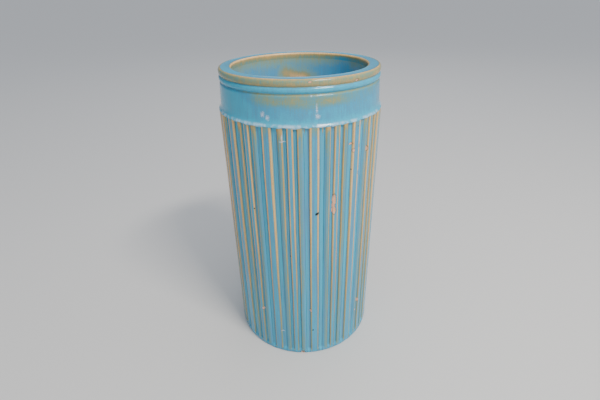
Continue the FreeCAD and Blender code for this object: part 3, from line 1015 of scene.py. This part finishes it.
# no mark lies as high as the lip's top, so the liner takes none
liner_glaze = glaze_material(
    "turquoise_liner_glaze",
    LINER_STOPS,
    low=LIP_TOP,
    high=LIP_TOP,
    stretch=0.6,
    mottle=0.5,
    streaks=0.3,
)
bare_clay = clay_material()

COLUMNS = 600
CORE_COLUMNS = 240
pieces = []

tree = ribbed_coat_tree(rib_glaze)
for quarter in range(QUARTERS):
    coat = ribbed_coat(tree, quarter, rib_glaze)
    pieces.append((coat, ("rib_glaze",), "outer_glaze"))

collar = turned_skin(
    "collar_coat",
    smooth_outline(COLLAR_KNOTS, 6),
    ((SPIGOT_RADIUS, NECK, 0.5), (SPIGOT_RADIUS, RIB_TOP, 0.5)),
    COLUMNS,
    0.14,
    COLLAR_PATCHES,
    collar_glaze,
    hem=0.8,
    chipped_from=SPIGOT_RADIUS + BACK_MARGIN,
)
pieces.append((collar, ("rim_glaze",), "outer_glaze"))

rim = turned_skin(
    "rim_coat",
    smooth_outline(RIM_KNOTS, 4),
    (
        (CLAY_WELL_RADIUS, LINER_SEAM, 0.5),
        (CLAY_WELL_RADIUS, RIM_CORE_TOP, 0.5),
        (RIM_CORE_RADIUS, RIM_CORE_TOP, 0.5),
        (RIM_CORE_RADIUS, NECK, 0.5),
    ),
    COLUMNS,
    0.09,
    RIM_PATCHES,
    collar_glaze,
    chipped_from=RIM_CORE_RADIUS + BACK_MARGIN,
)
pieces.append((rim, ("rim_glaze",), "outer_glaze"))

liner = turned_skin(
    "liner_coat",
    smooth_outline(LINER_KNOTS, 8),
    (
        (FLOOR_SEAM_RADIUS, FLOOR_TOP - LINER_SKIN, 0.5),
        (CLAY_WELL_RADIUS, FLOOR_TOP - LINER_SKIN, 0.5),
        (CLAY_WELL_RADIUS, LINER_SEAM, 0.5),
    ),
    COLUMNS,
    0.06,
    LINER_PATCHES,
    liner_glaze,
)
pieces.append((liner, ("liner_glaze",), "liner_glaze"))

floor_coat = turned_skin(
    "floor_coat",
    smooth_outline(FLOOR_KNOTS, 6),
    ((0.0, FLOOR_TOP - LINER_SKIN, 0.5), (FLOOR_SEAM_RADIUS, FLOOR_TOP - LINER_SKIN, 0.5)),
    COLUMNS // 2,
    0.0,
    (),
    liner_glaze,
)
pieces.append((floor_coat, ("liner_glaze",), "liner_glaze"))

wall_core = turned_skin(
    "wall_core",
    [Vector((CORE_RADIUS, FOOT_TOP, 1.0)), Vector((CORE_RADIUS, RIB_TOP, 1.0))],
    (
        (SPIGOT_RADIUS, RIB_TOP, 1.0),
        (SPIGOT_RADIUS, SPIGOT_FOOT, 1.0),
        (CLAY_WELL_RADIUS, SPIGOT_FOOT, 1.0),
        (CLAY_WELL_RADIUS, SLAB_TOP, 1.0),
        (SLAB_RADIUS, SLAB_TOP, 1.0),
        (SLAB_RADIUS, FOOT_TOP, 1.0),
    ),
    CORE_COLUMNS,
    0.0,
    (),
    bare_clay,
)
pieces.append((wall_core, ("ribbed_wall",), "clay"))

rim_core = turned_skin(
    "rim_core",
    [Vector((SPIGOT_RADIUS, SPIGOT_FOOT, 1.0)), Vector((SPIGOT_RADIUS, NECK, 1.0))],
    (
        (RIM_CORE_RADIUS, NECK, 1.0),
        (RIM_CORE_RADIUS, RIM_CORE_TOP, 1.0),
        (CLAY_WELL_RADIUS, RIM_CORE_TOP, 1.0),
        (CLAY_WELL_RADIUS, SPIGOT_FOOT, 1.0),
    ),
    CORE_COLUMNS,
    0.0,
    (),
    bare_clay,
)
pieces.append((rim_core, ("collar_rim",), "clay"))

foot = turned_skin(
    "foot",
    smooth_outline(FOOT_KNOTS, 5),
    ((FOOT_RADIUS, FOOT_TOP, 1.0), (FOOT_BORE, FOOT_TOP, 1.0)),
    COLUMNS,
    0.03,
    (),
    bare_clay,
    chipped_from=46.0,
)
pieces.append((foot, ("foot_ring",), "clay"))

for piece, nodes, slot in pieces:
    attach(piece, "root")
    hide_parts(*nodes)

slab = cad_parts["floor_slab"]
slab.data.materials.clear()
slab.data.materials.append(bare_clay)

# ---------------------------------------------------------------------------------------------
# Stage, light and camera
# ---------------------------------------------------------------------------------------------
bpy.ops.mesh.primitive_plane_add(size=60.0)
floor = bpy.context.object
floor.name = "floor"
paper = bpy.data.materials.new("matt_paper_floor")
paper.use_nodes = True
matt = paper.node_tree.nodes["Principled BSDF"]
matt.inputs["Base Color"].default_value = linear("#D9D8D6")
matt.inputs["Roughness"].default_value = 0.8
floor.data.materials.append(paper)

world = bpy.data.worlds.new("studio")
bpy.context.scene.world = world
world.use_nodes = True
# a wide soft ceiling, brightest overhead and a little to the front right, dim at the horizon
studio = world.node_tree
direction = add(studio, "ShaderNodeTexCoord").outputs["Generated"]
toward = add(studio, "ShaderNodeSeparateXYZ", {0: direction}).outputs
ceiling = reckon(
    studio,
    {"x": toward[0], "y": toward[1], "z": toward[2]},
    (
        ("aside", "MULTIPLY", "x", 0.30),
        ("leaning", "MULTIPLY_ADD", "y", -0.14, "aside"),
        ("up", "MULTIPLY_ADD", "z", 0.95, "leaning"),
        ("bright", "STEP", "up", 0.10, 0.95),
        ("strength", "MULTIPLY_ADD", "bright", 0.85, 0.26),
    ),
)
sky = studio.nodes["Background"]
sky.inputs["Color"].default_value = linear("#E6ECF6")
studio.links.new(ceiling["strength"], sky.inputs["Strength"])

# soft lights, with places and sizes in metres
LIGHTS = (
    {"name": "key", "at": (0.28, -0.45, 0.80), "size": (0.26, 0.08), "watts": 6.4, "colour": "#FFF8EE"},
    {"name": "side", "at": (0.30, -1.15, 0.80), "size": (1.2, 1.0), "watts": 3.0, "colour": "#FFF6EA"},
    {"name": "rear", "at": (0.30, 0.95, 0.90), "size": (0.80, 0.50), "watts": 1.4, "colour": "#F4F8FF"},
)
aim = Vector((0.0, 0.0, 0.11))  # just above the pot's middle
for lamp in LIGHTS:
    data = bpy.data.lights.new(lamp["name"], "AREA")
    data.shape = "RECTANGLE"
    data.size, data.size_y = lamp["size"]
    data.energy = lamp["watts"]
    data.color = linear(lamp["colour"])[:3]
    light = bpy.data.objects.new(lamp["name"], data)
    light.location = lamp["at"]
    light.rotation_euler = (aim - light.location).to_track_quat("-Z", "Y").to_euler()
    bpy.context.scene.collection.objects.link(light)

# the camera stands a little to the left of the broad front rib and looks down into the mouth;
# its distance from the axis and its height are millimetres, and the rest are degrees
CAMERA_TURN = -8.18
CAMERA_BACK = 248.0
CAMERA_HEIGHT = 240.6
CAMERA_DOWN = 29.02
CAMERA_ROLL = 1.34
CAMERA_SWING = 0.35
camera_data = bpy.data.cameras.new("camera")
camera_data.lens = 23.0
camera_data.sensor_width = 36.0
camera_data.clip_start = 0.01
camera = bpy.data.objects.new("camera", camera_data)
camera.location = pot_point(CAMERA_TURN, CAMERA_BACK, CAMERA_HEIGHT)
heading = Matrix.Rotation(math.radians(CAMERA_TURN + CAMERA_SWING), 4, "Z")
tilt = Matrix.Rotation(math.radians(90.0 - CAMERA_DOWN), 4, "X")
roll = Matrix.Rotation(math.radians(-CAMERA_ROLL), 4, "Z")
camera.rotation_euler = (heading @ tilt @ roll).to_euler()
bpy.context.scene.collection.objects.link(camera)
bpy.context.scene.camera = camera
